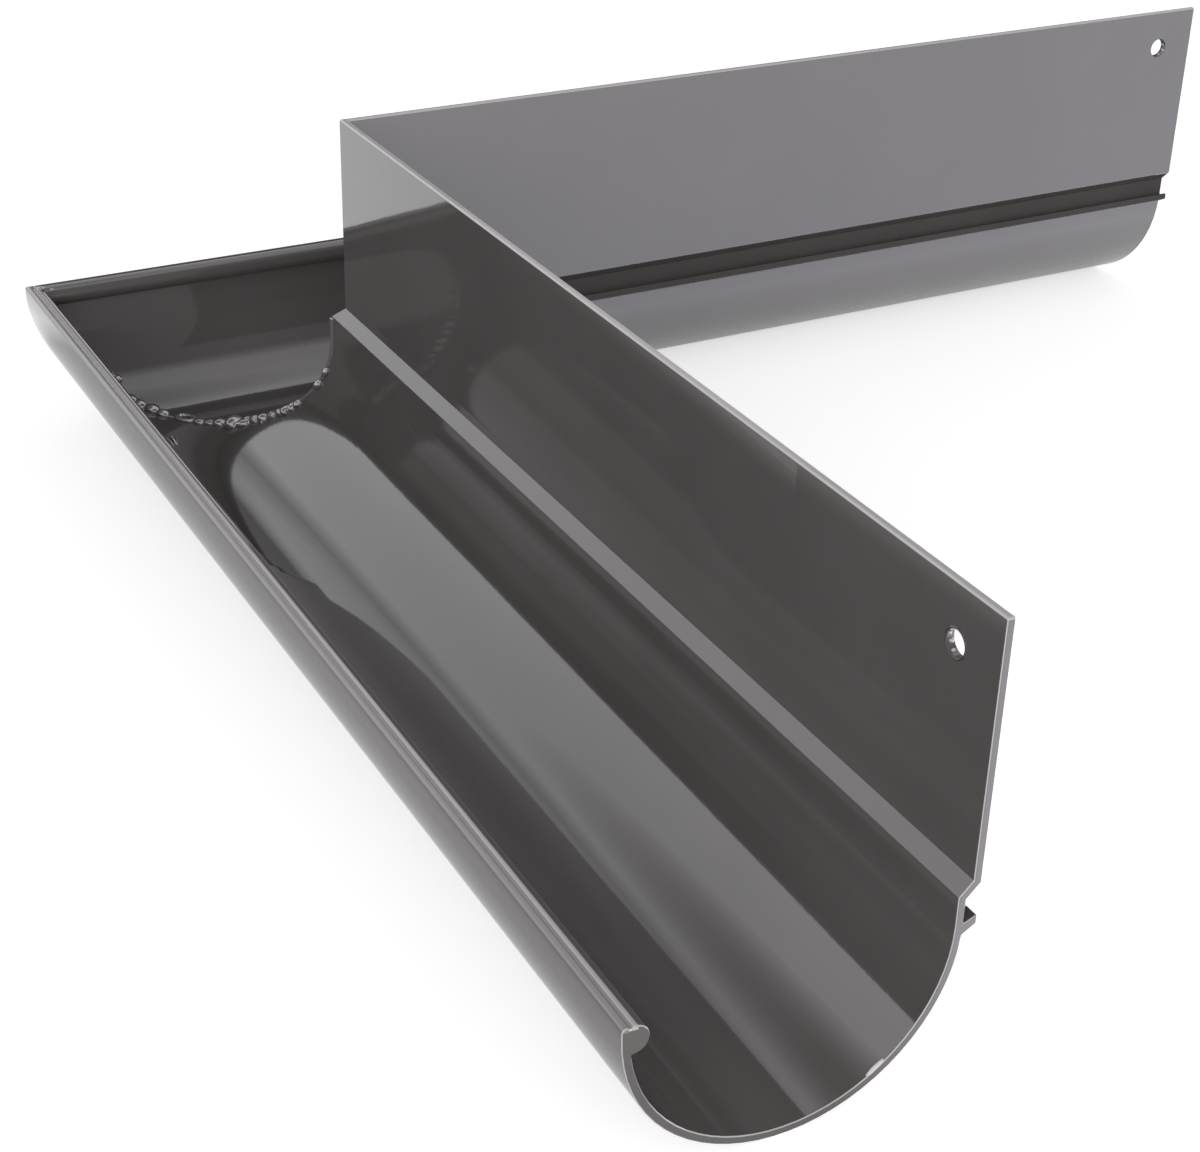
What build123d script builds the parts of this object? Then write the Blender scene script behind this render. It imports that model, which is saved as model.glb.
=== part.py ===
# Gutter external angle: two mitred lengths of half-round gutter with a tall upstand behind, welded along the mitre.
# Lengths are in millimetres. +Z is up. The origin is the middle of the angle's bounding box, on its bottom.
# One length runs along -Y and the other along +X. The wall's outside corner fits between them.

from build123d import *
from math import asin, degrees, radians, sqrt, tan
import os

# Driving dimensions
arm_length = 500.0  # from the wall's corner to the free end, along the wall face
wall = 3.0  # the extrusion's wall
upstand_height = 94.0  # flat that stands against the wall face
upstand_edge_radius = 0.8  # along the upstand's top
joggle = 5.0  # how far the gutter stands off the wall face, below the upstand
joggle_slope = 45.0  # of the sloping step between the upstand and the gutter, in degrees
joggle_bend_radius = 0.8  # on the step's sharp corners
back_wall_height = 10.0  # straight wall from the step down to the half round
round_radius = 60.0  # outside of the half round
front_wall_height = 3.4  # straight wall from the half round up to the rim
rim_radius = 1.6  # on the rim's outer edge
rim_groove_radius = 0.8  # small groove that runs along the top of the rim
rim_groove_setback = 3.0  # from the front face to the groove's middle
bead_radius = 5.2  # round bead on the inside of the rim, level with its top
bead_offset = 1.3  # from the wall's inner face to the bead's middle
bead_root_radius = 0.8  # where the bead's underside meets the wall
lip_drop = 10.2  # from the step's lower end to the top of the bracket's lip, inside the back wall
lip_rise = 23.0  # how steeply the lip's top rises towards the wall face, in degrees
lip_tip_height = 3.3  # the lip's flat tip, level with the wall face
lip_root_height = 4.3  # the lip inside the back wall
lip_tip_radius = 0.5
lip_root_radius = 0.5
hole_radius = 5.0  # screw hole in each upstand
hole_from_end = 22.0
hole_from_top = 20.0
end_chamfer = 0.4  # the free ends' edges are eased
weld_radius = 1.5  # run of weld along the inside of the mitre
weld_end_gap = 1.0  # the weld stops this far under the bead and the step

# Places that follow from them. Across the section, distances are measured out from the wall face,
# and heights from the lower edge of the upstand's back.
step_drop = joggle * tan(radians(joggle_slope))
step_rise = wall * tan(radians(joggle_slope / 2))  # the inner surface turns this much higher than the outer one
round_centre = joggle + round_radius
round_height = -step_drop - back_wall_height
inner_radius = round_radius - wall
front_face = joggle + 2 * round_radius
front_inside = front_face - wall
rim_height = round_height + front_wall_height
bead_height = rim_height - bead_radius
bead_foot = bead_height - sqrt(bead_radius**2 - bead_offset**2)  # where the bead's underside meets the wall
lip_root = -step_drop - lip_drop
lip_start = joggle + wall / 2  # the lip grows out of the middle of the back wall
lip_tip = lip_root + lip_start * tan(radians(lip_rise))
drop = round_radius - round_height  # the half round's bottom, below the upstand
corner_offset = (arm_length - front_face) / 2
wall_corner = Vector(-corner_offset, corner_offset, drop)

right_end = Plane(wall_corner - Vector(0, arm_length, 0), x_dir=(-1, 0, 0), z_dir=(0, 1, 0))
mitre = Plane(wall_corner, x_dir=(-1, 1, 0), z_dir=(1, 1, 0))


def corner_at(sketch, across, up):
    """The sketch's corner nearest to a place on the section."""
    return sketch.vertices().sort_by_distance((across, up, 0))[0]


# The extrusion's section
with BuildSketch() as section:
    with BuildLine():
        Polyline((0, upstand_height), (0, 0), (joggle, -step_drop), (joggle, round_height))
        CenterArc((round_centre, round_height), round_radius, 180, 180)
        Polyline(
            (front_face, round_height),
            (front_face, rim_height),
            (front_inside, rim_height),
            (front_inside, round_height),
        )
        CenterArc((round_centre, round_height), inner_radius, 0, -180)
        Polyline(
            (joggle + wall, round_height),
            (joggle + wall, step_rise - step_drop),
            (wall, step_rise),
            (wall, upstand_height),
            (0, upstand_height),
        )
    make_face()
    with BuildLine():
        bead_turn = 180 + degrees(asin(bead_offset / bead_radius))
        bead_arc = CenterArc((front_inside - bead_offset, bead_height), bead_radius, 90, bead_turn)
        Polyline(bead_arc @ 1, (front_inside, rim_height), bead_arc @ 0)
    make_face()
    with BuildLine():
        Polyline(
            (lip_start, lip_root),
            (0, lip_tip),
            (0, lip_tip - lip_tip_height),
            (lip_start, lip_root - lip_root_height),
            close=True,
        )
    make_face()
    with Locations((front_face - rim_groove_setback, rim_height)):
        Circle(rim_groove_radius, mode=Mode.SUBTRACT)
    fillet([corner_at(section, 0, upstand_height), corner_at(section, wall, upstand_height)], upstand_edge_radius)
    fillet([corner_at(section, 0, 0), corner_at(section, joggle + wall, step_rise - step_drop)], joggle_bend_radius)
    fillet(corner_at(section, front_face, rim_height), rim_radius)
    fillet(corner_at(section, front_inside, bead_foot), bead_root_radius)
    fillet([corner_at(section, 0, lip_tip), corner_at(section, 0, lip_tip - lip_tip_height)], lip_tip_radius)
    fillet(corner_at(section, joggle, lip_root), lip_root_radius)
    fillet(corner_at(section, joggle, lip_root - lip_root_height), lip_root_radius)

# Right-hand length, seen from outside the corner
with BuildPart() as right_arm:
    with BuildSketch(right_end):
        add(section.sketch)
    extrude(amount=arm_length + front_face)
    split(bisect_by=mitre, keep=Keep.BOTTOM)
    chamfer(right_arm.faces().sort_by(Axis.Y)[0].edges(), end_chamfer)
    hole_place = wall_corner + Vector(0, hole_from_end - arm_length, upstand_height - hole_from_top)
    with BuildSketch(Plane(hole_place, z_dir=(-1, 0, 0))):
        Circle(hole_radius)
    extrude(amount=wall, mode=Mode.SUBTRACT)
right_arm.part.label = "right_arm"

# Left-hand length, the mirror image of the other
with BuildPart() as left_arm:
    mirror(right_arm.part, about=mitre)
left_arm.part.label = "left_arm"

# Weld along the inside of the mitre, from under the step behind to under the bead in front.
# Seen square to the mitre the section is wider by the square root of two. One half lies on the left-hand length,
# and the other half mirrors it.
weld_reach = round_height - bead_foot + weld_end_gap  # from the round's centre down to the weld's end
with BuildPart() as mitre_weld:
    with BuildLine(mitre) as seam:
        Line(
            ((joggle + wall) * sqrt(2), step_rise - step_drop - weld_end_gap),
            ((joggle + wall) * sqrt(2), round_height),
        )
        EllipticalCenterArc(
            (round_centre * sqrt(2), round_height),
            inner_radius * sqrt(2),
            inner_radius,
            start_angle=180,
            arc_size=180 - degrees(asin(weld_reach / inner_radius)),
        )
    with BuildSketch(seam.line ^ 0):
        Circle(weld_radius)
    sweep()
    split(bisect_by=mitre, keep=Keep.TOP)
    add(left_arm.part, mode=Mode.SUBTRACT)
    mirror(about=mitre)
mitre_weld.part.label = "mitre_weld"

os.makedirs("parts", exist_ok=True)
export_step(right_arm.part, "parts/right_arm.step")
export_step(left_arm.part, "parts/left_arm.step")
export_step(mitre_weld.part, "parts/mitre_weld.step")
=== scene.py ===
# %% [markdown]
# # A powder-coated gutter corner
#
# The object is the outside corner of a half-round gutter with a tall upstand behind it. Two lengths of one aluminium
# extrusion are mitred, welded along the mitre, and then powder coated together in a glossy warm grey. The metal itself
# comes from the CAD model. This file adds its coat, with painted shade in the bracket groove and painted highlights
# along the edges, the hand-laid weld, the edges of the screw holes, two painted glints at a cut end, a plain studio and
# the camera.

import bmesh
import bpy
import math
import random
from mathutils import Matrix, Vector


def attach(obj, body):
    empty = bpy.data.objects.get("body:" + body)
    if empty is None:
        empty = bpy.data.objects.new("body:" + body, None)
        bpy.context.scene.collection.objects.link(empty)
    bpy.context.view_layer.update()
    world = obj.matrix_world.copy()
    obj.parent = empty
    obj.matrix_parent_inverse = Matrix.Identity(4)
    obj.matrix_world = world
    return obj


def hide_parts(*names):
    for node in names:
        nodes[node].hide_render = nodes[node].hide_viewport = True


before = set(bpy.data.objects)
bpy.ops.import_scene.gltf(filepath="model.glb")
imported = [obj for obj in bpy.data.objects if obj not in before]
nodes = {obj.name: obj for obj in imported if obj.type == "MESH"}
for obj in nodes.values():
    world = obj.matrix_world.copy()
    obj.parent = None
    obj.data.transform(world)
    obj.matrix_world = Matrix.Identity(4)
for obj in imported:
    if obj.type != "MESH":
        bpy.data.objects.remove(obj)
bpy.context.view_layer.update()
print("CAD nodes:", sorted(nodes))

# %% [markdown]
# ## The camera
#
# The photograph looks down along one length of the gutter, from outside the corner. Straight edges of known direction
# fix where a camera stood: the vanishing points give its turn and its lens, and an arm's length gives its distance. The
# numbers below come from such a fit. The lens is kept without any shift, because a shift would push the object out of
# the picture when the camera goes round it.

# %% Place the camera
CAMERA_PLACE = Vector((-0.56122, -0.74585, 0.48893))
CAMERA_TURN = (60.960, -1.402, -27.938)  # degrees about X, Y and Z
CAMERA_LENS = 67.606  # mm
FILM_WIDTH = 36.0  # mm
NEAREST_SEEN = 0.01  # metres
PART_MIDDLE = Vector((0, 0, 0.08))

scene = bpy.context.scene
camera_data = bpy.data.cameras.new("camera")
camera_data.lens = CAMERA_LENS
camera_data.sensor_fit = "HORIZONTAL"
camera_data.sensor_width = FILM_WIDTH
camera_data.clip_start = NEAREST_SEEN
camera = bpy.data.objects.new("camera", camera_data)
camera.location = CAMERA_PLACE
camera.rotation_euler = [math.radians(turn) for turn in CAMERA_TURN]
scene.collection.objects.link(camera)
scene.camera = camera
scene.view_settings.view_transform = "Standard"
print("camera", round((CAMERA_PLACE - PART_MIDDLE).length, 3), "m from the part")

# %% [markdown]
# ## A few helpers for nodes
#
# Every material below is a small graph of nodes, and so is the light of the room. These helpers keep the graphs short.
# Each adds one kind of node, takes plain numbers or the outputs of other nodes, and gives back the new node's output.

# %% Node helpers
MIX_SOCKETS = {"FLOAT": (2, 3, 0), "RGBA": (6, 7, 2)}  # a Mix node's two inputs and its output, for each kind of value


def feed(tree, socket, value):
    """Link an output into the socket, or set the socket to a plain value."""
    if isinstance(value, bpy.types.NodeSocket):
        tree.links.new(value, socket)
    else:
        socket.default_value = value


def node_at(tree, kind, **values):
    """A shader node, with its named inputs fed."""
    node = tree.nodes.new(kind)
    for name, value in values.items():
        feed(tree, node.inputs[name.replace("_", " ")], value)
    return node


def math_on(tree, operation, *values):
    """A Math node on one to three values."""
    node = tree.nodes.new("ShaderNodeMath")
    node.operation = operation
    for socket, value in zip(node.inputs, values):
        feed(tree, socket, value)
    return node.outputs["Value"]


def product_of(tree, first, *others):
    """All the values multiplied together."""
    for other in others:
        first = math_on(tree, "MULTIPLY", first, other)
    return first


def mix_of(tree, kind, factor, first, second):
    """First where the factor is 0 and second where it is 1. The kind is FLOAT or RGBA."""
    node = tree.nodes.new("ShaderNodeMix")
    node.data_type = kind
    first_input, second_input, output = MIX_SOCKETS[kind]
    feed(tree, node.inputs[0], factor)
    feed(tree, node.inputs[first_input], first)
    feed(tree, node.inputs[second_input], second)
    return node.outputs[output]


def axes_of(tree, place):
    """The X, Y and Z of a place."""
    return list(node_at(tree, "ShaderNodeSeparateXYZ", Vector=place).outputs)


def ramp_between(tree, value, start, end, low=0.0, high=1.0):
    """Low until the value reaches start, high from end on, and straight between."""
    ramp = node_at(tree, "ShaderNodeMapRange", Value=value, From_Min=start, From_Max=end, To_Min=low, To_Max=high)
    return ramp.outputs["Result"]


def inside_band(tree, value, low, high, blur):
    """1 between low and high, fading to 0 over the blur outside them."""
    return product_of(tree, ramp_between(tree, value, low - blur, low), ramp_between(tree, value, high + blur, high))


print("node helpers ready")

# %% [markdown]
# ## The gloss powder coat
#
# Powder coat is a pigmented resin, melted on in an oven. Where it is glossy it has a clear skin that mirrors the room.
# It is never as flat as glass: it sets with a faint orange peel, and a long extrusion is a little wavy beneath it. The
# shader's coat layer is the clear skin, and its base is the pigment. The colour drifts slightly, in patches about a
# hand wide, as resin does where it is thicker.
#
# The bracket groove behind the gutter gets painted shade: its colour is darker, its pigment rougher and its clear skin
# is taken off, to stand in for the shade that lies in the groove. A band on Object coordinates finds the groove: it is
# a place on the part, so it stays put when the camera goes round.

# %% Mark the bracket groove
WALL_FACE = 0.1875  # the wall faces stand at x = -0.1875 and y = 0.1875
GROOVE_DEPTH = (-0.0010, 0.0062)  # out from the wall face
GROOVE_HEIGHT = (0.0590, 0.0741)
STEP_LINE = 0.0765  # height plus depth, halfway through the step's sloping metal
ARM_END = 0.3121  # the groove's painted shade stops short of the cut ends
BAND_BLUR = 0.0003


# Painted shade: this band darkens the coat and takes its clear skin off in the groove, where shade lies.
def groove_shade_band(tree, place):
    """1 inside the groove of either length, and 0 on the rest of the part."""
    x, y, z = axes_of(tree, place)
    outward = math_on(tree, "SUBTRACT", math_on(tree, "MAXIMUM", product_of(tree, x, -1.0), y), WALL_FACE)
    depth = inside_band(tree, outward, *GROOVE_DEPTH, BAND_BLUR)
    height = inside_band(tree, z, *GROOVE_HEIGHT, BAND_BLUR)
    under_step = math_on(tree, "LESS_THAN", math_on(tree, "ADD", outward, z), STEP_LINE)
    before_left_end = math_on(tree, "LESS_THAN", x, ARM_END)
    before_right_end = math_on(tree, "GREATER_THAN", y, -ARM_END)
    return product_of(tree, depth, height, under_step, before_left_end, before_right_end)


print("groove band from", GROOVE_HEIGHT[0], "to", GROOVE_HEIGHT[1], "m up")

# %% [markdown]
# A second band paints highlights: a lighter grey in a thin line along the upstand's top, along the bead, and round the
# cut ends. It takes in the bead of the right-hand length alone, because the other one looks dark.

# %% Mark the painted highlights on the edges
TOP_EDGE = (0.1682, 0.1684)  # heights between which the upstand's rounded top begins
BEAD_LINE = (0.1197, 0.1212)  # out from the wall face, along the top of the bead
RIM_TOP = (0.1212, 0.1244)  # and the rest of the rim's top, which is lighter by a smaller share
RIM_SHARE = 0.35
RIM_FOOT = 0.0620  # height above which bead and rim are
CUT_EDGE = (0.31213, 0.31241)  # the eased edges of both cut ends
CUT_BLUR = 0.00003


# Painted highlight: this band lightens the coat along the upstand's top, the bead and the cut edges.
def painted_highlight_band(tree, place):
    """1 where a highlight is painted along the part's sharp edges, and 0 elsewhere."""
    x, y, z = axes_of(tree, place)
    top = ramp_between(tree, z, *TOP_EDGE)
    outward = math_on(tree, "SUBTRACT", product_of(tree, x, -1.0), WALL_FACE)
    bead = inside_band(tree, outward, *BEAD_LINE, BAND_BLUR)
    rim = product_of(tree, inside_band(tree, outward, *RIM_TOP, BAND_BLUR), RIM_SHARE)
    lines = product_of(tree, math_on(tree, "MAXIMUM", bead, rim), math_on(tree, "GREATER_THAN", z, RIM_FOOT))
    towards_end = math_on(tree, "MAXIMUM", x, product_of(tree, y, -1.0))
    cut = inside_band(tree, towards_end, *CUT_EDGE, CUT_BLUR)
    return math_on(tree, "MAXIMUM", math_on(tree, "MAXIMUM", top, lines), cut)


print("edge band from", TOP_EDGE[0], "m up, and along the bead and the cuts")

# %% [markdown]
# The weld also pulled the metal a little out of flat. Towards the corner the right-hand upstand tips over the trough by
# a few degrees, as its mirror image of the floor shows: that image ends higher up than it would in a flat wall. It
# moves the metal by less than the eye can tell, but the gloss makes it plain, so it goes into that length's coat as a
# bump: a height that grows steadily up the wall tilts the mirrored picture and nothing else.

# %% Lean the mirrored picture near the corner
LEAN = 0.055  # outward per unit of height
LEAN_FOOT = 0.080  # height at which the lean begins, on the flat of the upstand
LEAN_FACE = (-0.1895, 0.0015)  # x of the leaning face, and how far off it may lie: the wall's other face lies further
LEAN_ALONG = (-0.20, 0.06)  # y between which the lean grows


def lean_height(tree, place):
    """How far the leaning face stands out from the straight one."""
    x, y, z = axes_of(tree, place)
    on_face = math_on(tree, "COMPARE", x, *LEAN_FACE)
    rise = math_on(tree, "MAXIMUM", math_on(tree, "SUBTRACT", z, LEAN_FOOT), 0.0)
    return product_of(tree, rise, LEAN, on_face, ramp_between(tree, y, *LEAN_ALONG))


print("lean of", round(math.degrees(math.atan(LEAN)), 2), "degrees")

# %% [markdown]
# The three bands meet in one material. Bumps make its skin uneven, from the large to the small: the lean, then the
# waves, then the orange peel. The pigment has no gloss of its own, because such a coat shows one mirrored picture only.
# The weld's coat is lighter, as a painted highlight on the lumps, and mirrors more strongly.

# %% Make the coat
COAT_GREY = (0.110, 0.099, 0.100)  # linear light, a warm dark grey
HIGHLIGHT_GREY = (0.50, 0.48, 0.48)  # the painted highlight's grey along the edges
DRIFT_STOPS, DRIFT_SHARES = (0.3, 0.7), (0.94, 1.06)  # darker and lighter patches of the grey
GROOVE_SHADE_SHARE = 0.85  # the groove's painted shade: its colour, as a share of the full coat's
PIGMENT_ROUGHNESS, DULL_ROUGHNESS, SKIN_ROUGHNESS = 0.35, 0.7, 0.055
DRIFT_NOISE, WAVE_NOISE, PEEL_NOISE = (14.0, 3.0), (11.0, 1.0), (420.0, 2.0)  # scale and detail of each
WAVE_HEIGHT, PEEL_HEIGHT = 0.0005, 0.00006
WELD_HIGHLIGHT_SHARE = 1.6  # the weld's colour, as a share of the coat's: lighter, as a painted highlight


def noise_at(tree, place, scale, detail):
    """Soft noise between 0 and 1."""
    return node_at(tree, "ShaderNodeTexNoise", Vector=place, Scale=scale, Detail=detail).outputs["Fac"]


def shade_of(share, grey=COAT_GREY):
    """The grey, made lighter or darker."""
    return [channel * share for channel in grey]


def drifting_grey(tree, place, grey):
    """The grey in slightly lighter and darker patches."""
    drift = node_at(tree, "ShaderNodeValToRGB", Fac=noise_at(tree, place, *DRIFT_NOISE))
    for stop, position, share in zip(drift.color_ramp.elements, DRIFT_STOPS, DRIFT_SHARES):
        stop.position = position
        stop.color = (*shade_of(share, grey), 1)
    return drift.outputs["Color"]


def gloss_coat(name, grey, skin=1.52, peel=0.12, wave=0.25, grooved=False, leaning=False):
    """Gloss powder coat. Grooved: painted shade in the bracket groove and painted highlights on the edges. Leaning:
    tipped near the corner.
    """
    material = bpy.data.materials.new(name)
    material.use_nodes = True
    tree = material.node_tree
    shader = tree.nodes["Principled BSDF"]
    place = tree.nodes.new("ShaderNodeTexCoord").outputs["Object"]
    colour, roughness, weight = drifting_grey(tree, place, grey), PIGMENT_ROUGHNESS, 1.0
    if grooved:
        # painted shade in the groove: a darker colour, a rougher pigment and no clear skin
        groove_shade = groove_shade_band(tree, place)
        groove_shading = tree.nodes.new("ShaderNodeVectorMath")
        groove_shading.operation = "SCALE"
        feed(tree, groove_shading.inputs[0], colour)
        feed(tree, groove_shading.inputs["Scale"], ramp_between(tree, groove_shade, 0.0, 1.0, 1.0, GROOVE_SHADE_SHARE))
        # painted highlight: a lighter grey along the edges
        colour = mix_of(tree, "RGBA", painted_highlight_band(tree, place), groove_shading.outputs["Vector"], (*HIGHLIGHT_GREY, 1))
        roughness = ramp_between(tree, groove_shade, 0.0, 1.0, PIGMENT_ROUGHNESS, DULL_ROUGHNESS)
        weight = ramp_between(tree, groove_shade, 0.0, 1.0, 1.0, 0.0)
    waves = node_at(tree, "ShaderNodeBump", Height=noise_at(tree, place, *WAVE_NOISE), Strength=wave,
                    Distance=WAVE_HEIGHT)
    if leaning:
        lean = node_at(tree, "ShaderNodeBump", Height=lean_height(tree, place), Strength=1.0, Distance=1.0)
        tree.links.new(lean.outputs["Normal"], waves.inputs["Normal"])
    peels = node_at(tree, "ShaderNodeBump", Height=noise_at(tree, place, *PEEL_NOISE), Strength=peel,
                    Distance=PEEL_HEIGHT, Normal=waves.outputs["Normal"])
    for socket, value in (("Base Color", colour), ("Roughness", roughness), ("Specular IOR Level", 0.0),
                          ("Coat Weight", weight), ("Coat IOR", skin), ("Coat Roughness", SKIN_ROUGHNESS),
                          ("Normal", peels.outputs["Normal"]), ("Coat Normal", peels.outputs["Normal"])):
        feed(tree, shader.inputs[socket], value)
    return material


coat = gloss_coat("gloss_coat", COAT_GREY, grooved=True)
leaning_coat = gloss_coat("gloss_coat_leaning", COAT_GREY, grooved=True, leaning=True)
# the weld's lighter grey is a painted highlight on its lumps
weld_coat = gloss_coat("gloss_coat_on_weld", shade_of(WELD_HIGHLIGHT_SHARE), skin=2.2, peel=0.3, wave=0.0)
for name, finish in (("right_arm", leaning_coat), ("left_arm", coat), ("mitre_weld", weld_coat)):
    nodes[name].data.materials.clear()
    nodes[name].data.materials.append(finish)
    print(name, "has", finish.name)

# %% [markdown]
# ## The hand-laid weld
#
# The corner is welded from inside, by hand. A thin run of metal closes the seam all the way down the front wall, round
# the bottom and up the back, and on it stand the lumps that the torch left: a chain of drops, one ring-shaped crater,
# and stray spatter. A smooth cord would look machined. So a thin run is spun along the half round and stretched to the
# mitre's ellipse, drops of many sizes are set along it, and a voxel remesh melts them all into one skin, as the metal
# did. Its vertices are then smoothed a little, because the coat rounds every edge.
#
# A place on the weld is given by how far it lies round the half round, in degrees from the front wall, and by how far
# it lies off the seam: towards the left-hand length where that is positive, and towards the right-hand one where not.

# %% Find places on the seam
WELD_CORNER = Vector((-WALL_FACE, WALL_FACE, 0.075))  # the wall's corner, level with the upstand's lower edge
ROUND_MIDDLE = 0.065  # from the wall face to the half round's middle
ROUND_INSIDE = 0.057  # the half round's inner radius
ROUND_DROP = 0.015  # the half round's middle, below the upstand


def seam_place(turn, off_seam=0.0):
    """A point on the inner surface, its direction along the seam, and its direction out of the metal."""
    angle = math.radians(turn)
    out = ROUND_MIDDLE + ROUND_INSIDE * math.cos(angle)
    up = -ROUND_DROP - ROUND_INSIDE * math.sin(angle)
    point = WELD_CORNER + Vector((-out, out, up))
    along = Vector((math.sin(angle), -math.sin(angle), -math.cos(angle))).normalized()
    normal = Vector((math.cos(angle), -math.cos(angle), math.sin(angle))).normalized()
    point += Vector((max(off_seam, 0.0), min(off_seam, 0.0), 0.0))
    return point, along, normal


print("seam bottom at", [round(v, 4) for v in seam_place(90)[0]])

# %% [markdown]
# Rings, balls and finished meshes come up several times below, in the weld, the holes and the burrs. Each has a helper.

# %% Shape helpers
def quarter_turn(axis):
    """A turn of 90 degrees about an axis."""
    return Matrix.Rotation(math.radians(90), 3, axis)


def ring_on(shape, sides, radius):
    """A new ring round Z: its vertices, and its vertices and edges together, as the spin takes them."""
    verts = bmesh.ops.create_circle(shape, segments=sides, radius=radius)["verts"]
    return verts, verts + list(dict.fromkeys(edge for vert in verts for edge in vert.link_edges))


def add_ball(shape, place, half_sizes, turned=Matrix.Identity(4), subdivisions=3):
    """A ball stretched to its half sizes, turned, and set in its place."""
    matrix = Matrix.Translation(place) @ turned @ Matrix.Diagonal((*half_sizes, 1))
    return bmesh.ops.create_icosphere(shape, subdivisions=subdivisions, radius=1, matrix=matrix)["verts"]


def finish_mesh(shape, mesh, *finishes):
    """Give the mesh its materials, and write the shape to it, shaded smooth."""
    mesh.materials.clear()
    for finish in finishes:
        mesh.materials.append(finish)
    for face in shape.faces:
        face.smooth = True
    shape.to_mesh(mesh)
    shape.free()
    print(mesh.name, "has", len(mesh.polygons), "faces")


print("shape helpers ready")

# %% Spin the thin run that closes the seam
RUN_RADIUS = 0.0010
RUN_SIDES, RUN_STEPS = 12, 72
RUN_START = 8.0  # degrees, just under the rim's bead
RUN_RISE = 0.0102  # straight up the back wall, to just under the step
MITRE_TURN = 135.0  # degrees about Z, from +X to the mitre

weld = bmesh.new()
ring, ring_and_edges = ring_on(weld, RUN_SIDES, RUN_RADIUS)
bmesh.ops.translate(weld, verts=ring, vec=(ROUND_INSIDE, 0, 0))
bmesh.ops.rotate(weld, verts=ring, cent=(0, 0, 0), matrix=Matrix.Rotation(math.radians(RUN_START), 3, "Y"))
spun = bmesh.ops.spin(weld, geom=ring_and_edges, cent=(0, 0, 0), axis=(0, 1, 0),
                      angle=math.radians(180.0 - RUN_START), steps=RUN_STEPS)
last_edges = [item for item in spun["geom_last"] if isinstance(item, bmesh.types.BMEdge)]
risen = bmesh.ops.extrude_edge_only(weld, edges=last_edges)
bmesh.ops.translate(weld, verts=[item for item in risen["geom"] if isinstance(item, bmesh.types.BMVert)],
                    vec=(0, 0, RUN_RISE))
bmesh.ops.holes_fill(weld, edges=[edge for edge in weld.edges if edge.is_boundary], sides=0)
bmesh.ops.scale(weld, verts=weld.verts, vec=(math.sqrt(2), 1, 1))  # the mitre cuts the half round on the slant
bmesh.ops.rotate(weld, verts=weld.verts, cent=(0, 0, 0), matrix=Matrix.Rotation(math.radians(MITRE_TURN), 3, "Z"))
bmesh.ops.translate(weld, verts=weld.verts, vec=WELD_CORNER + Vector((-ROUND_MIDDLE, ROUND_MIDDLE, -ROUND_DROP)))
print("run of", len(weld.faces), "faces; lowest point", round(min(vert.co.z for vert in weld.verts), 4))

# %% [markdown]
# The drops follow the photograph, one by one: large and close together at the bottom, small up the back, and a gap
# where the crater is. Chance swings each one and grows it a little, and sets a smaller lobe beside it, since a drop of
# weld is never quite round.

# %% Set the torch's drops along it
# Each drop: degrees round, mm off the seam, then its length, width and height in mm
DROPS = (
    (46.5, 12, 7, 4, 3.5), (50, 13, 6, 4, 3), (48.5, 9, 5, 4, 3), (60, 4, 6, 6, 4.5), (64, 3, 6, 6, 4.5),
    (68, 3.5, 7, 6, 4.5), (73.5, 3, 7, 6, 4.5), (78.5, 2, 7, 6, 4.5), (94, 0.5, 7, 4.5, 3.5),
    (98.5, 0.5, 7, 4.5, 3.5), (102, 0.8, 6, 5, 4), (106, 3.5, 8, 7, 7), (108.5, 0, 7, 8, 6), (112, -1.5, 8, 5, 4),
    (112.5, 2.5, 6, 6, 6), (116.5, 1.5, 6, 6, 5.5), (120.5, 1, 6, 6, 5.5), (124.5, 1.5, 5, 7, 5.5),
    (128.5, 1, 4.5, 7, 5), (132, 0.5, 4, 7, 4.5), (135.5, 0.8, 4, 7, 4.5), (139, 0.3, 4, 6, 3.5),
    (153, 0, 4.5, 4, 3.5), (157, 0.5, 3, 3, 2.2), (161, 0, 5, 4, 3.5), (166, 0.5, 3.5, 3, 2.2),
)
DROP_SWING = 0.6  # radians to each side
DROP_GROWTH, DROP_WIDENING = (0.95, 1.3), 1.15
LOBE_TURN, LOBE_OFF = 1.6, 2.6  # degrees and mm to each side of its drop
LOBE_SHARES = (0.6, 0.65, 0.9)  # of its drop's length, width and height
SPATTER = 16  # stray grains
GRAIN_TURN, GRAIN_OFF, GRAIN_SIZE = (30, 150), (-9, 11), (0.7, 1.5)  # degrees, mm and mm
# Three thin streaks lie beside the weld on the right-hand length, and point along it. Each has a swing in radians too.
STREAKS = ((75, -40, 24, 1.3, 1.1, -0.785), (72.5, -45, 17, 1.1, 0.9, -0.70), (76.5, -36, 8, 1.5, 1.2, -0.9))
# Two tack spots hold the mitre together on top of the rim: place and half sizes in metres
TACKS = (
    ((-0.3062, 0.3062, 0.0632), (0.0022, 0.0017, 0.0012)),
    ((-0.3010, 0.3052, 0.0620), (0.0014, 0.0012, 0.0010)),
)

chance = random.Random(7)


def add_drop(turn, off_seam, length, width, height, swing=None):
    """A flattened ball on the metal. Swing turns it about the metal's normal, by chance if it isn't given."""
    point, along, normal = seam_place(turn, off_seam / 1000)
    turned = Matrix((along, normal.cross(along), normal)).transposed().to_4x4()
    swung = Matrix.Rotation(chance.uniform(-DROP_SWING, DROP_SWING) if swing is None else swing, 4, "Z")
    add_ball(weld, point, (length / 2000, width / 2000, height / 2000), turned @ swung)


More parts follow.
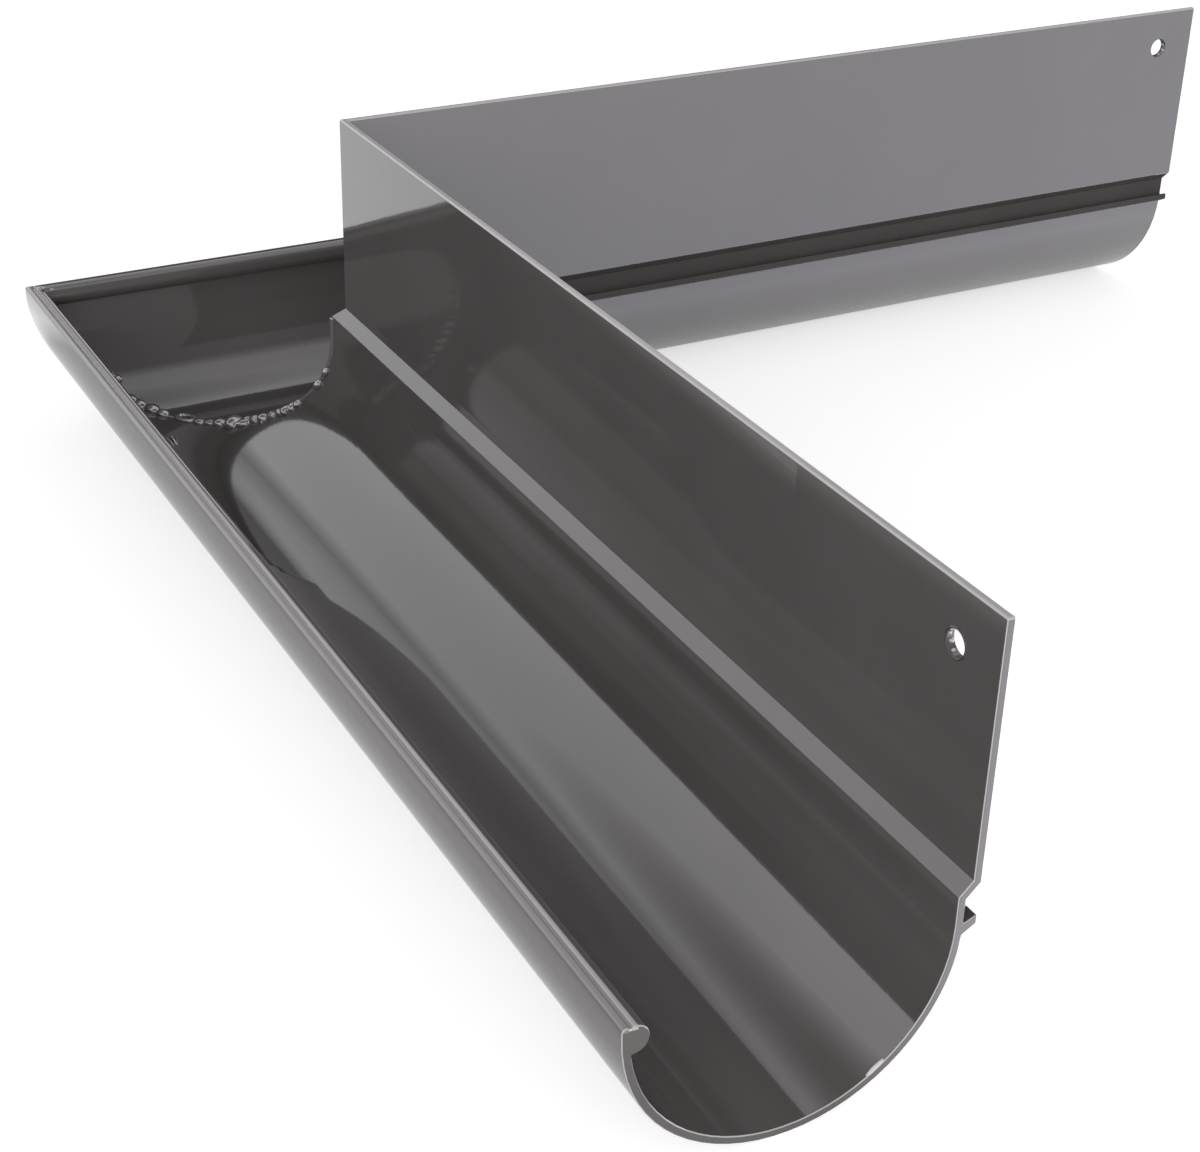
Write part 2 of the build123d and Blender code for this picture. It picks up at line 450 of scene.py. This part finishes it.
for turn, off_seam, length, width, height in DROPS:
    grown = chance.uniform(*DROP_GROWTH)
    add_drop(turn, off_seam, length * grown, width * grown * DROP_WIDENING, height * grown)
    lobe_turn = turn + chance.uniform(-LOBE_TURN, LOBE_TURN)
    lobe_off = off_seam + chance.uniform(-LOBE_OFF, LOBE_OFF)
    add_drop(lobe_turn, lobe_off, *[size * share for size, share in zip((length, width, height), LOBE_SHARES)])
for _ in range(SPATTER):
    grain_size = chance.uniform(*GRAIN_SIZE)
    add_drop(chance.uniform(*GRAIN_TURN), chance.uniform(*GRAIN_OFF), grain_size, grain_size, grain_size)
for streak in STREAKS:
    add_drop(*streak)
for place, half_sizes in TACKS:
    add_ball(weld, place, half_sizes)
print(len(DROPS), "drops,", SPATTER, "grains,", len(STREAKS), "streaks and", len(TACKS), "tacks")

# %% [markdown]
# Where the torch was lifted and set down again, the pool shrank back and left a ring with a hollow middle. It is a
# small circle spun into a torus, stretched along the seam.

# %% Set the crater
CRATER_TURN, CRATER_OFF = 87.5, 0.0022  # degrees round, and metres off the seam
CRATER_RADIUS, CRATER_LIP = 0.0030, 0.0013
CRATER_SIDES, CRATER_STEPS = 12, 32
CRATER_STRETCH = 1.5
CRATER_LIFT = 0.0004  # out of the metal

earlier = set(weld.verts)
lip, lip_and_edges = ring_on(weld, CRATER_SIDES, CRATER_LIP)
bmesh.ops.rotate(weld, verts=lip, cent=(0, 0, 0), matrix=quarter_turn("X"))
bmesh.ops.translate(weld, verts=lip, vec=(CRATER_RADIUS, 0, 0))
bmesh.ops.spin(weld, geom=lip_and_edges, cent=(0, 0, 0), axis=(0, 0, 1), angle=math.radians(360),
               steps=CRATER_STEPS, use_merge=True)
crater = [vert for vert in weld.verts if vert not in earlier]
point, along, normal = seam_place(CRATER_TURN, CRATER_OFF)
bmesh.ops.scale(weld, verts=crater, vec=(CRATER_STRETCH, 1.0, 1.0))
bmesh.ops.rotate(weld, verts=crater, cent=(0, 0, 0), matrix=Matrix((along, normal.cross(along), normal)).transposed())
bmesh.ops.translate(weld, verts=crater, vec=point + normal * CRATER_LIFT)
print("crater of", len(crater), "vertices")

# %% [markdown]
# So far the run, the drops and the crater only pass through each other. The remesh lays one closed skin round them all,
# fine enough to keep the smallest grain, and two rounds of smoothing take off the steps that the voxels leave.

# %% Melt them together
WELD_VOXEL = 0.00032
SMOOTHINGS, SMOOTH_FACTOR = 2, 0.5

bmesh.ops.recalc_face_normals(weld, faces=weld.faces)
rough_mesh = bpy.data.meshes.new("weld_rough")
weld.to_mesh(rough_mesh)
weld.free()
rough = bpy.data.objects.new("weld_rough", rough_mesh)
scene.collection.objects.link(rough)
melt = rough.modifiers.new("melt", "REMESH")
melt.mode = "VOXEL"
melt.voxel_size = WELD_VOXEL
melted_mesh = bpy.data.meshes.new_from_object(rough.evaluated_get(bpy.context.evaluated_depsgraph_get()))
melted_mesh.name = "corner_weld"
bpy.data.objects.remove(rough)

shape = bmesh.new()
shape.from_mesh(melted_mesh)
for _ in range(SMOOTHINGS):
    bmesh.ops.smooth_vert(shape, verts=shape.verts, factor=SMOOTH_FACTOR, use_axis_x=True, use_axis_y=True,
                          use_axis_z=True)
finish_mesh(shape, melted_mesh, weld_coat)
corner_weld = bpy.data.objects.new("corner_weld", melted_mesh)
scene.collection.objects.link(corner_weld)
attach(corner_weld, "root")
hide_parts("mitre_weld")

# %% [markdown]
# ## The edges of the screw holes
#
# A ring of coat stands round each hole's mouth on the gutter's side, in a darker grey. Inside the hole a few small
# balls are coloured far lighter than the coat, as painted highlights for bright specks there. The lip is a ring spun
# round the hole, and the specks are small balls.

# %% Coat the holes' edges
HOLES = (  # name, place on the gutter's side of the upstand in metres, and turn about Z in degrees
    ("right", (-0.1905, -0.2905, 0.1490), 0.0),
    ("left", (0.2905, 0.1905, 0.1490), -90.0),
)
HOLE_RADIUS = 0.0050
LIP_THICK = 0.00045
LIP_SIDES, LIP_STEPS = 10, 40
# Each speck, a ball coloured light as a painted highlight: degrees round, depth in metres and radius in metres
HOLE_SPECKS = ((-12, 0.0010, 0.0008), (22, 0.0018, 0.0010), (58, 0.0013, 0.0008))
LIP_SHARE, HOLE_SPECK_SHARE = 0.6, 3.2  # their colours, as shares of the coat's; the specks' is a painted highlight

edge_coat = gloss_coat("gloss_coat_on_edges", shade_of(LIP_SHARE), skin=1.4, wave=0.0)
speck_highlight_coat = gloss_coat("painted_highlight_on_hole_specks", shade_of(HOLE_SPECK_SHARE), skin=2.4, wave=0.0)
for name, place, turn in HOLES:
    shape = bmesh.new()
    ring, ring_and_edges = ring_on(shape, LIP_SIDES, LIP_THICK)
    bmesh.ops.rotate(shape, verts=ring, cent=(0, 0, 0), matrix=quarter_turn("X"))
    bmesh.ops.translate(shape, verts=ring, vec=(0, 0, HOLE_RADIUS))
    bmesh.ops.spin(shape, geom=ring_and_edges, cent=(0, 0, 0), axis=(1, 0, 0), angle=math.radians(360),
                   steps=LIP_STEPS, use_merge=True)
    # each speck is a small ball in a light grey, a painted highlight
    for around, depth, radius in HOLE_SPECKS:
        angle = math.radians(around)
        spot = (depth, HOLE_RADIUS * math.cos(angle), -HOLE_RADIUS * math.sin(angle))
        speck = add_ball(shape, spot, (radius, radius, radius), subdivisions=2)
        for face in {face for vert in speck for face in vert.link_faces}:
            face.material_index = 1
    bmesh.ops.recalc_face_normals(shape, faces=shape.faces)
    bmesh.ops.rotate(shape, verts=shape.verts, cent=(0, 0, 0), matrix=Matrix.Rotation(math.radians(turn), 3, "Z"))
    bmesh.ops.translate(shape, verts=shape.verts, vec=place)
    edge_mesh = bpy.data.meshes.new(name + "_hole_edge")
    finish_mesh(shape, edge_mesh, edge_coat, speck_highlight_coat)
    hole_edge = bpy.data.objects.new(name + "_hole_edge", edge_mesh)
    scene.collection.objects.link(hole_edge)
    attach(hole_edge, "root")

# %% [markdown]
# ## Two painted glints at the cut end
#
# Two small balls, coloured almost white, are painted highlights: a flat glint on the inside of the near cut and a speck
# beside the bead. Each is a ball flattened along the edge it hangs on.

# %% Set the painted glints
CUT_GLINTS = (  # place, half sizes along the edge, along the gutter and across the edge, and turn about Y in degrees
    ((-0.2203, -0.3117, 0.0130), (0.0042, 0.0007, 0.0008), -38),
    ((-0.3095, -0.3120, 0.0622), (0.0007, 0.0005, 0.0005), 0),
)
CUT_GLINT_SHARE = 6.5  # their near-white painted highlight, as a share of the coat's colour

shape = bmesh.new()
# the glints are painted highlights: small balls in a near-white grey
for place, half_sizes, turn in CUT_GLINTS:
    add_ball(shape, place, half_sizes, Matrix.Rotation(math.radians(turn), 4, "Y"))
glint_mesh = bpy.data.meshes.new("cut_glints")
finish_mesh(shape, glint_mesh, gloss_coat("painted_glint", shade_of(CUT_GLINT_SHARE), wave=0.0))
cut_glints = bpy.data.objects.new("cut_glints", glint_mesh)
scene.collection.objects.link(cut_glints)
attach(cut_glints, "root")

# %% [markdown]
# ## The studio
#
# A pale sweep goes all round the part: a floor that runs far past the picture, and walls of light that rise from it.
# Overhead it stays dark, where nothing is lit. Gloss makes that worth modelling, because a glossy surface is mostly a
# picture of its room: the light shape that runs down the trough is the wall, and it stops where the dark roof begins.
# The camera sees the sweep as white, by Light Path, and the floor still takes the part's soft shadow.

# %% Lay the floor
FLOOR_REACH = 6.0  # metres to each side

floor_mesh = bpy.data.meshes.new("floor")
shape = bmesh.new()
bmesh.ops.create_grid(shape, x_segments=1, y_segments=1, size=FLOOR_REACH)
shape.to_mesh(floor_mesh)
shape.free()
floor = bpy.data.objects.new("floor", floor_mesh)
scene.collection.objects.link(floor)
print("floor laid,", 2 * FLOOR_REACH, "m across")

# %% [markdown]
# The mirrored floor isn't even. In the photograph it is dim beside the part, where the part and its shadow keep the
# light off, and bright further out. Inside the angle it is brightest and a little cool, as if a white card lay there to
# light the back. The gloss alone sees those differences. The camera sees plain paper.

# %% Paper the floor
PAPER_WHITE = (0.88, 0.88, 0.88, 1)
CAMERA_GLOW = 0.6  # added to the lit paper where the camera sees it
GLOSS_GLOW = (0.35, 1.15)  # and where the gloss does, near the part and far from it
NEAR_FLOOR = (0.37, 0.41)  # metres out along +Y between which that glow grows from near to far
SIDE_SHIFT = 0.3  # along -X it grows this much further out
CARD_EDGE = (0.15, 0.23)  # metres out along -X or +Y between which the card ends
CARD_GLOW = 2.2
CARD_TINT = (0.96, 0.97, 1.07, 1)

sweep = bpy.data.materials.new("white_sweep")
sweep.use_nodes = True
tree = sweep.node_tree
tree.nodes.remove(tree.nodes["Principled BSDF"])
x, y, _ = axes_of(tree, tree.nodes.new("ShaderNodeTexCoord").outputs["Object"])
ray = tree.nodes.new("ShaderNodeLightPath")
aside = product_of(tree, x, -1.0)
beyond = math_on(tree, "MAXIMUM", math_on(tree, "SUBTRACT", aside, SIDE_SHIFT), y)
on_card = ramp_between(tree, math_on(tree, "MAXIMUM", aside, y), *CARD_EDGE, 1.0, 0.0)
gloss_glow = math_on(tree, "MULTIPLY_ADD", on_card, CARD_GLOW, ramp_between(tree, beyond, *NEAR_FLOOR, *GLOSS_GLOW))
for_gloss = product_of(tree, ray.outputs["Is Glossy Ray"], gloss_glow)
strength = math_on(tree, "MULTIPLY_ADD", ray.outputs["Is Camera Ray"], CAMERA_GLOW, for_gloss)
tint = mix_of(tree, "RGBA", product_of(tree, ray.outputs["Is Glossy Ray"], on_card), (1, 1, 1, 1), CARD_TINT)
glow = node_at(tree, "ShaderNodeEmission", Color=tint, Strength=strength)
paper = node_at(tree, "ShaderNodeBsdfDiffuse", Color=PAPER_WHITE)
both = tree.nodes.new("ShaderNodeAddShader")
tree.links.new(paper.outputs["BSDF"], both.inputs[0])
tree.links.new(glow.outputs["Emission"], both.inputs[1])
tree.links.new(both.outputs["Shader"], tree.nodes["Material Output"].inputs["Surface"])
floor_mesh.materials.append(sweep)
print("floor papered, with a card of glow", CARD_GLOW, "inside the angle")

# %% [markdown]
# The walls are brightest beyond the corner, on the left, and dimmest behind the camera. Besides the dark roof, the
# gloss shows three more places: a dim stretch of wall straight beyond the part, a bright patch within it where a lamp
# stands, and a dark end of the room, high behind the camera. Each is a round place on the sky, found by how far a
# direction agrees with its middle. The pigment sees none of that, but a plain soft light that fades upwards.

# %% Hang the walls of light and the dark roof
WALL_GLOW = 1.97  # the walls' mean level, where the gloss sees them
WALL_DRIFT = 0.5  # how much brighter they are on their bright side
BRIGHT_SIDE = Vector((-0.57, 0.82, 0.0))
# Each place: its middle, the cosines between which it begins and is full, and its level or glow
ROOF = (Vector((-0.206, 0.294, 0.934)), (0.85, 0.94), 0.12)
DIM_WALL = (Vector((0.441, 0.765, 0.469)), (0.895, 0.97), 0.15)
LAMP_PATCH = (Vector((0.33, 0.77, 0.55)), (0.975, 0.993), 1.3)
DARK_END = (Vector((0.314, -0.674, 0.669)), (0.86, 0.93), 0.25)
LIGHT_LEVEL = 0.86  # the soft light from low down
LIGHT_HIGH = 0.42  # its share overhead
LIGHT_FADE = (0.25, 0.75)  # sines of the heights between which it fades

world = bpy.data.worlds.new("studio")
scene.world = world
world.use_nodes = True
tree = world.node_tree
sky = tree.nodes.new("ShaderNodeTexCoord").outputs["Generated"]


def towards(direction):
    """How far a direction of the sky agrees with another one, as a cosine."""
    node = tree.nodes.new("ShaderNodeVectorMath")
    node.operation = "DOT_PRODUCT"
    feed(tree, node.inputs[0], sky)
    feed(tree, node.inputs[1], direction.normalized())
    return node.outputs["Value"]


def sky_place(middle, edge, full, elsewhere=1.0):
    """Full within a round place on the sky, and another level elsewhere."""
    return ramp_between(tree, towards(middle), *edge, elsewhere, full)


walls = math_on(tree, "MULTIPLY_ADD", towards(BRIGHT_SIDE), WALL_DRIFT, WALL_GLOW)
walls = math_on(tree, "MULTIPLY_ADD", walls, sky_place(*DIM_WALL), sky_place(*LAMP_PATCH, elsewhere=0.0))
room = product_of(tree, walls, sky_place(*ROOF), sky_place(*DARK_END))
light = ramp_between(tree, towards(Vector((0, 0, 1))), *LIGHT_FADE, LIGHT_LEVEL, LIGHT_LEVEL * LIGHT_HIGH)
ray = tree.nodes.new("ShaderNodeLightPath")
seen = mix_of(tree, "FLOAT", ray.outputs["Is Glossy Ray"], light, room)
seen = mix_of(tree, "FLOAT", ray.outputs["Is Camera Ray"], seen, 1.0)
background = tree.nodes["Background"]
feed(tree, background.inputs["Color"], (1, 1, 1, 1))
feed(tree, background.inputs["Strength"], seen)
print("walls lit, roof dark within", round(math.degrees(math.acos(ROOF[1][1]))), "degrees of its middle")

# %% [markdown]
# Two large soft lamps in front lift the pigment on the sides that face them. The gloss doesn't see them, because the
# photograph shows no lamp in it there.

# %% Light the lamps
LAMPS = (("front_lamp", (0.7, -2.2, 0.9), 7), ("side_lamp", (-1.3, -1.8, 0.8), 15))  # name, place and watts
LAMP_SIZE = (1.6, 1.2)
LAMP_AIM = Vector((0.0, 0.0, 0.1))

for name, place, watts in LAMPS:
    lamp_data = bpy.data.lights.new(name, "AREA")
    lamp_data.shape = "RECTANGLE"
    lamp_data.size, lamp_data.size_y = LAMP_SIZE
    lamp_data.energy = watts
    lamp = bpy.data.objects.new(name, lamp_data)
    lamp.location = place
    lamp.rotation_euler = (LAMP_AIM - Vector(place)).to_track_quat("-Z", "Y").to_euler()
    lamp.visible_glossy = False
    scene.collection.objects.link(lamp)
    print(name, "lit,", watts, "W")
